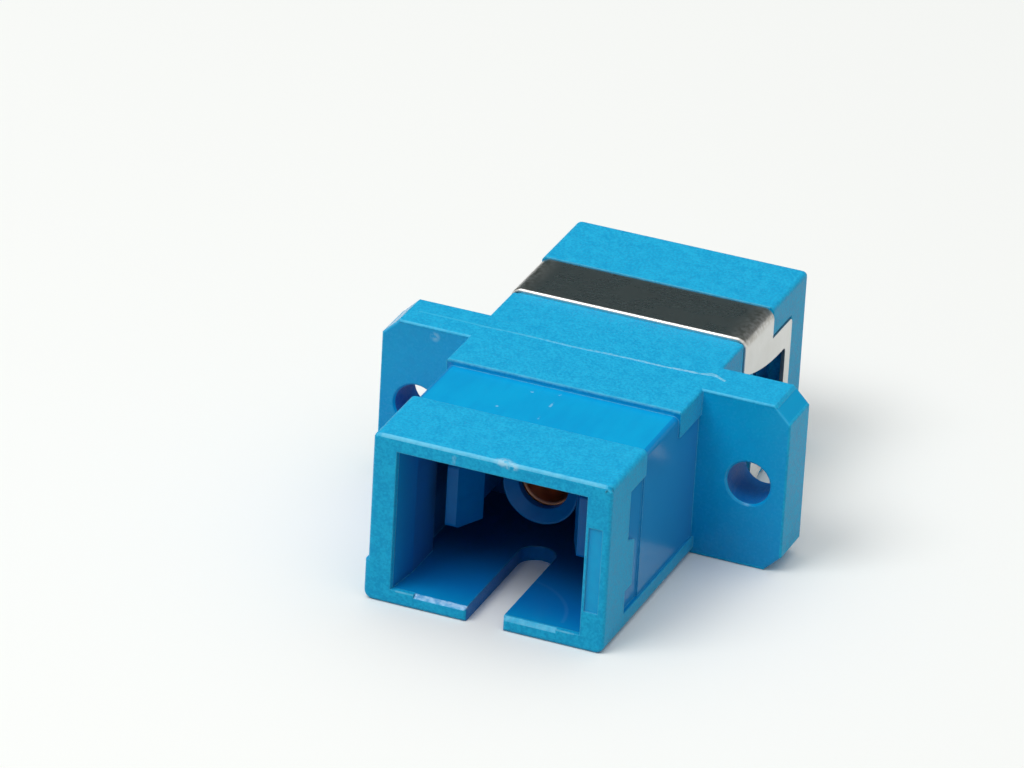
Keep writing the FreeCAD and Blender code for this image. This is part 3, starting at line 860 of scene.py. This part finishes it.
def smooth_rise(values, place, steepness):
    """Rises from 0 to 1 about a place: one over one plus e to the power of minus the steepness
    times the distance past the place."""
    return 1 / (1 + np.exp(-steepness * (values - place)))


def flash_course(t, width, height):
    """How high the line of flash rises, the y that it runs at and half its width, at places t
    along it in millimetres.

    The height is the sum of a few waves of different lengths, kept between a tenth and just
    over one, times an envelope that is full between the middle and the right, low elsewhere
    and almost nothing at both ends. The line wanders a little, and a small bump near its right
    end shifts it backwards."""
    low_share = 0.12
    strong_share = 0.82
    bump_share = 0.95
    bump_shift = 0.16 * MM
    least = 0.05
    waves = np.full(len(t), 0.62)
    for share, rate, phase in ((0.20, 2.9, 0.4), (0.14, 7.3, 1.9), (0.12, 17.0, 0.7)):
        waves += share * np.sin(rate * t + phase)
    strong = smooth_rise(t, -2.4, 1.6) - smooth_rise(t, 5.35, 9.0)
    bump = np.exp(-((t - 6.12) / 0.40) ** 2)
    left_fade = np.clip((t - FLASH_ENDS[0]) / 4.0, least, 1)
    right_fade = np.clip((FLASH_ENDS[1] - t) / 0.5, least, 1)
    ends = left_fade * right_fade
    envelope = low_share + strong_share * strong + bump_share * bump
    rise = height * np.clip(waves, 0.1, 1.1) * envelope * ends
    wander = 0.03 * MM * np.sin(1.3 * t) + 0.028 * MM * np.clip(t, 0, None)
    line_y = WELD_Y + wander * ends + bump_shift * bump
    half = width / 2 * (0.45 + 0.45 * waves + 0.8 * bump)
    return rise, line_y, half


def weld_flash_points(width, height, rings, around):
    """Points of the line of flash. Along it, x runs over the flange's flat top. Around it, a
    half ellipse stands on the surface, and its flat side is sunk a little below."""
    sink = 0.02 * MM
    t = np.linspace(*FLASH_ENDS, rings)
    rise, line_y, half = flash_course(t, width, height)
    angle = np.linspace(0, 2 * math.pi, around, endpoint=False)
    lift = np.clip(np.sin(angle), 0, None)
    low = np.where(np.sin(angle) < -1e-9, -sink, 0.0)
    points = np.empty((rings, around, 3))
    points[:, :, 0] = (t * MM)[:, None]
    points[:, :, 1] = line_y[:, None] + half[:, None] * np.cos(angle)[None, :]
    points[:, :, 2] = TOP_Z + rise[:, None] * lift[None, :] + low[None, :]
    return points.reshape(-1, 3)


# Studio

def direction(azimuth, elevation):
    """The unit vector from the object towards a place round it; azimuth 0 is its front."""
    return Vector((math.sin(azimuth) * math.cos(elevation),
                   -math.cos(azimuth) * math.cos(elevation), math.sin(elevation)))


def facing_matrix(towards, roll=0.0):
    """A turn whose third axis points along a direction and whose first is level but for roll."""
    level = Vector((0, 0, 1)).cross(towards).normalized()
    rise = towards.cross(level)
    first = level * math.cos(roll) + rise * math.sin(roll)
    second = rise * math.cos(roll) - level * math.sin(roll)
    return Matrix((first, second, towards)).transposed().to_4x4()


def make_camera(studio):
    camera_data = bpy.data.cameras.new("camera")
    camera_data.lens = studio.camera_lens
    camera_data.sensor_width = 36.0
    camera_data.clip_start = 0.01
    camera_data.clip_end = 50.0
    camera = bpy.data.objects.new("camera", camera_data)
    towards = direction(studio.camera_azimuth, studio.camera_elevation)
    place = Vector(studio.camera_aim) + towards * studio.camera_distance
    camera.matrix_world = Matrix.Translation(place) @ facing_matrix(towards,
                                                                    studio.camera_roll)
    bpy.context.scene.collection.objects.link(camera)
    bpy.context.scene.camera = camera


def make_key(studio):
    """The soft box, as strong as its share of the light on the floor asks for."""
    lamp = bpy.data.lights.new("key", "AREA")
    lamp.size = studio.key_size
    spread = (math.pi * studio.key_distance) ** 2 / math.sin(studio.key_elevation)
    lamp.energy = studio.key_share * spread
    key = bpy.data.objects.new("key", lamp)
    towards = direction(studio.key_azimuth, studio.key_elevation)
    key.matrix_world = Matrix.Translation(towards * studio.key_distance) @ facing_matrix(towards)
    bpy.context.scene.collection.objects.link(key)


def seen_directly(tree):
    """1 for rays that show the surround itself: from the camera, in gloss and through glass."""
    path = add_node(tree, "ShaderNodeLightPath").outputs
    mirrored = math_node(tree, "MAXIMUM", path["Is Glossy Ray"], path["Is Transmission Ray"])
    return math_node(tree, "MAXIMUM", path["Is Camera Ray"], mirrored)


def make_surround(studio):
    """White where it is seen directly. As a light it grows with the square of the height
    above the horizon, and twice the share makes that light the floor as even white would."""
    world = bpy.data.worlds.new("surround")
    world.use_nodes = True
    tree = world.node_tree
    background = tree.nodes["Background"]
    background.inputs["Color"].default_value = (1.0, 1.0, 1.0, 1.0)
    height = math_node(tree, "MAXIMUM", coordinates(tree)[2], 0.0)
    sky = times(tree, times(tree, height, height), 2.0 * studio.sky_share)
    strength = mix_values(tree, seen_directly(tree), sky, 1.0)
    tree.links.new(strength, background.inputs["Strength"])
    bpy.context.scene.world = world


def floor_material(colour, bounce):
    """Smooth pale card, with the slightest change of tone. It is pale where it is seen, and
    throws only a share of its light back at the object."""
    material, tree, shader = new_material("pale_card", {"Roughness": 0.9,
                                                        "Specular IOR Level": 0.0})
    tone_scale = 18.0
    darker_by = 0.985
    tone = noise(tree, object_place(tree), tone_scale, 3.0)
    darker = tuple(value * darker_by for value in colour[:3])
    seen = mix_colours(tree, tone, opaque(colour), opaque(darker))
    thrown = opaque(tuple(value * bounce for value in colour[:3]))
    shade = mix_colours(tree, seen_directly(tree), thrown, seen)
    tree.links.new(shade, shader.inputs["Base Color"])
    return material


def flat_sheet(name, half_width, half_length):
    corners = np.array([(-1, -1, 0), (1, -1, 0), (1, 1, 0), (-1, 1, 0)], float)
    points = corners * (half_width, half_length, 1)
    return mesh_object(name, points, [(0, 1, 2, 3)])


def make_floor(studio):
    half_size = 3.0
    floor = flat_sheet("floor", half_size, half_size)
    floor.location.z = FLOOR_Z
    floor.data.materials.append(floor_material(studio.floor_colour, studio.floor_bounce))


def make_dark_card():
    """A dark card behind the object. Only gloss and metal show it, as they show the unlit end
    of a real studio."""
    half_width = 0.85
    half_length = 0.34
    distance = 0.7
    towards = Vector((-0.31, 0.82, 0.48)).normalized()
    material = new_material("dark_card", {"Base Color": (0.050, 0.092, 0.102, 1.0),
                                          "Roughness": 1.0, "Specular IOR Level": 0.0})[0]
    card = flat_sheet("dark_card", half_width, half_length)
    card.matrix_world = Matrix.Translation(towards * distance) @ facing_matrix(-towards)
    card.data.materials.append(material)
    card.visible_camera = False
    card.visible_diffuse = False
    card.visible_shadow = False
    card.visible_transmission = False


# Operators

class ADAPTER_OT_housing_finish(Operator):
    """Gives both housings their grained and polished moulded finish"""

    bl_idname = "adapter.housing_finish"
    bl_label = "Housing Finish"

    def execute(self, context):
        material = housing_material(context.scene.adapter.housing)
        finish_nodes(["front_housing", "rear_housing"], material)
        return {"FINISHED"}


class ADAPTER_OT_insert_finish(Operator):
    """Gives both latch inserts their smooth moulded finish"""

    bl_idname = "adapter.insert_finish"
    bl_label = "Insert Finish"

    def execute(self, context):
        material = insert_material(context.scene.adapter.housing)
        finish_nodes(["front_latch_insert", "rear_latch_insert"], material)
        return {"FINISHED"}


class ADAPTER_OT_metal_finish(Operator):
    """Gives the clip its rolled steel and the alignment sleeve its drawn bronze"""

    bl_idname = "adapter.metal_finish"
    bl_label = "Metal Finish"

    def execute(self, context):
        metal = context.scene.adapter.metal
        over_clip = (0.05, 1.0, 0.05)
        along_sleeve = (1.0, 0.05, 1.0)
        clip = metal_material("rolled_steel", metal.steel, metal.dull_steel, over_clip,
                              0.06 * MM, metal.steel_roughness, 0.3)
        dull_the_bends(clip)
        # The sleeve's edges get a stronger painted highlight than the clip's
        sleeve = metal_material("drawn_bronze", metal.bronze, metal.dull_bronze, along_sleeve,
                                0.05 * MM, metal.bronze_roughness, 0.7)
        finish_nodes(["mounting_clip"], clip)
        finish_nodes(["alignment_sleeve"], sleeve)
        return {"FINISHED"}


class ADAPTER_OT_weld_flash(Operator):
    """Adds the thin line of flash along the weld on top of the flange"""

    bl_idname = "adapter.weld_flash"
    bl_label = "Weld Flash"

    def execute(self, context):
        sizes = context.scene.adapter.flash
        rings = 420
        around = 12
        points = weld_flash_points(sizes.width, sizes.height, rings, around)
        flash = mesh_object("weld_flash", points, closed_strip_faces(rings, around))
        flash.data.materials.append(flash_material(context.scene.adapter.housing))
        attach(flash, "root")
        return {"FINISHED"}


class ADAPTER_OT_studio(Operator):
    """Sets up the camera, the soft light and the pale floor"""

    bl_idname = "adapter.studio"
    bl_label = "Studio"

    def execute(self, context):
        studio = context.scene.adapter.studio
        context.scene.view_settings.view_transform = "Standard"
        make_camera(studio)
        make_surround(studio)
        make_key(studio)
        make_floor(studio)
        make_dark_card()
        return {"FINISHED"}


class ADAPTER_PT_panel(Panel):
    """The adapter's operators and settings"""

    bl_idname = "ADAPTER_PT_panel"
    bl_label = "Fibre Plug Adapter"
    bl_space_type = "VIEW_3D"
    bl_region_type = "UI"
    bl_category = "Adapter"

    def draw(self, context):
        for operator in OPERATORS:
            self.layout.operator(operator.bl_idname)
        settings = context.scene.adapter
        for part in (settings.housing, settings.metal, settings.flash, settings.studio):
            box = self.layout.box()
            for name in part.bl_rna.properties.keys():
                if name not in ("rna_type", "name"):
                    box.prop(part, name)


OPERATORS = (ADAPTER_OT_housing_finish, ADAPTER_OT_insert_finish, ADAPTER_OT_metal_finish,
             ADAPTER_OT_weld_flash, ADAPTER_OT_studio)
CLASSES = (HousingFinish, MetalFinish, WeldFlashSizes, StudioSizes, AdapterSettings,
           *OPERATORS, ADAPTER_PT_panel)


def register():
    for kind in CLASSES:
        bpy.utils.register_class(kind)
    bpy.types.Scene.adapter = PointerProperty(type=AdapterSettings)


def unregister():
    del bpy.types.Scene.adapter
    for kind in reversed(CLASSES):
        bpy.utils.unregister_class(kind)


def main():
    register()
    bpy.ops.adapter.housing_finish()
    bpy.ops.adapter.insert_finish()
    bpy.ops.adapter.metal_finish()
    bpy.ops.adapter.weld_flash()
    bpy.ops.adapter.studio()


if __name__ == "__main__":
    main()
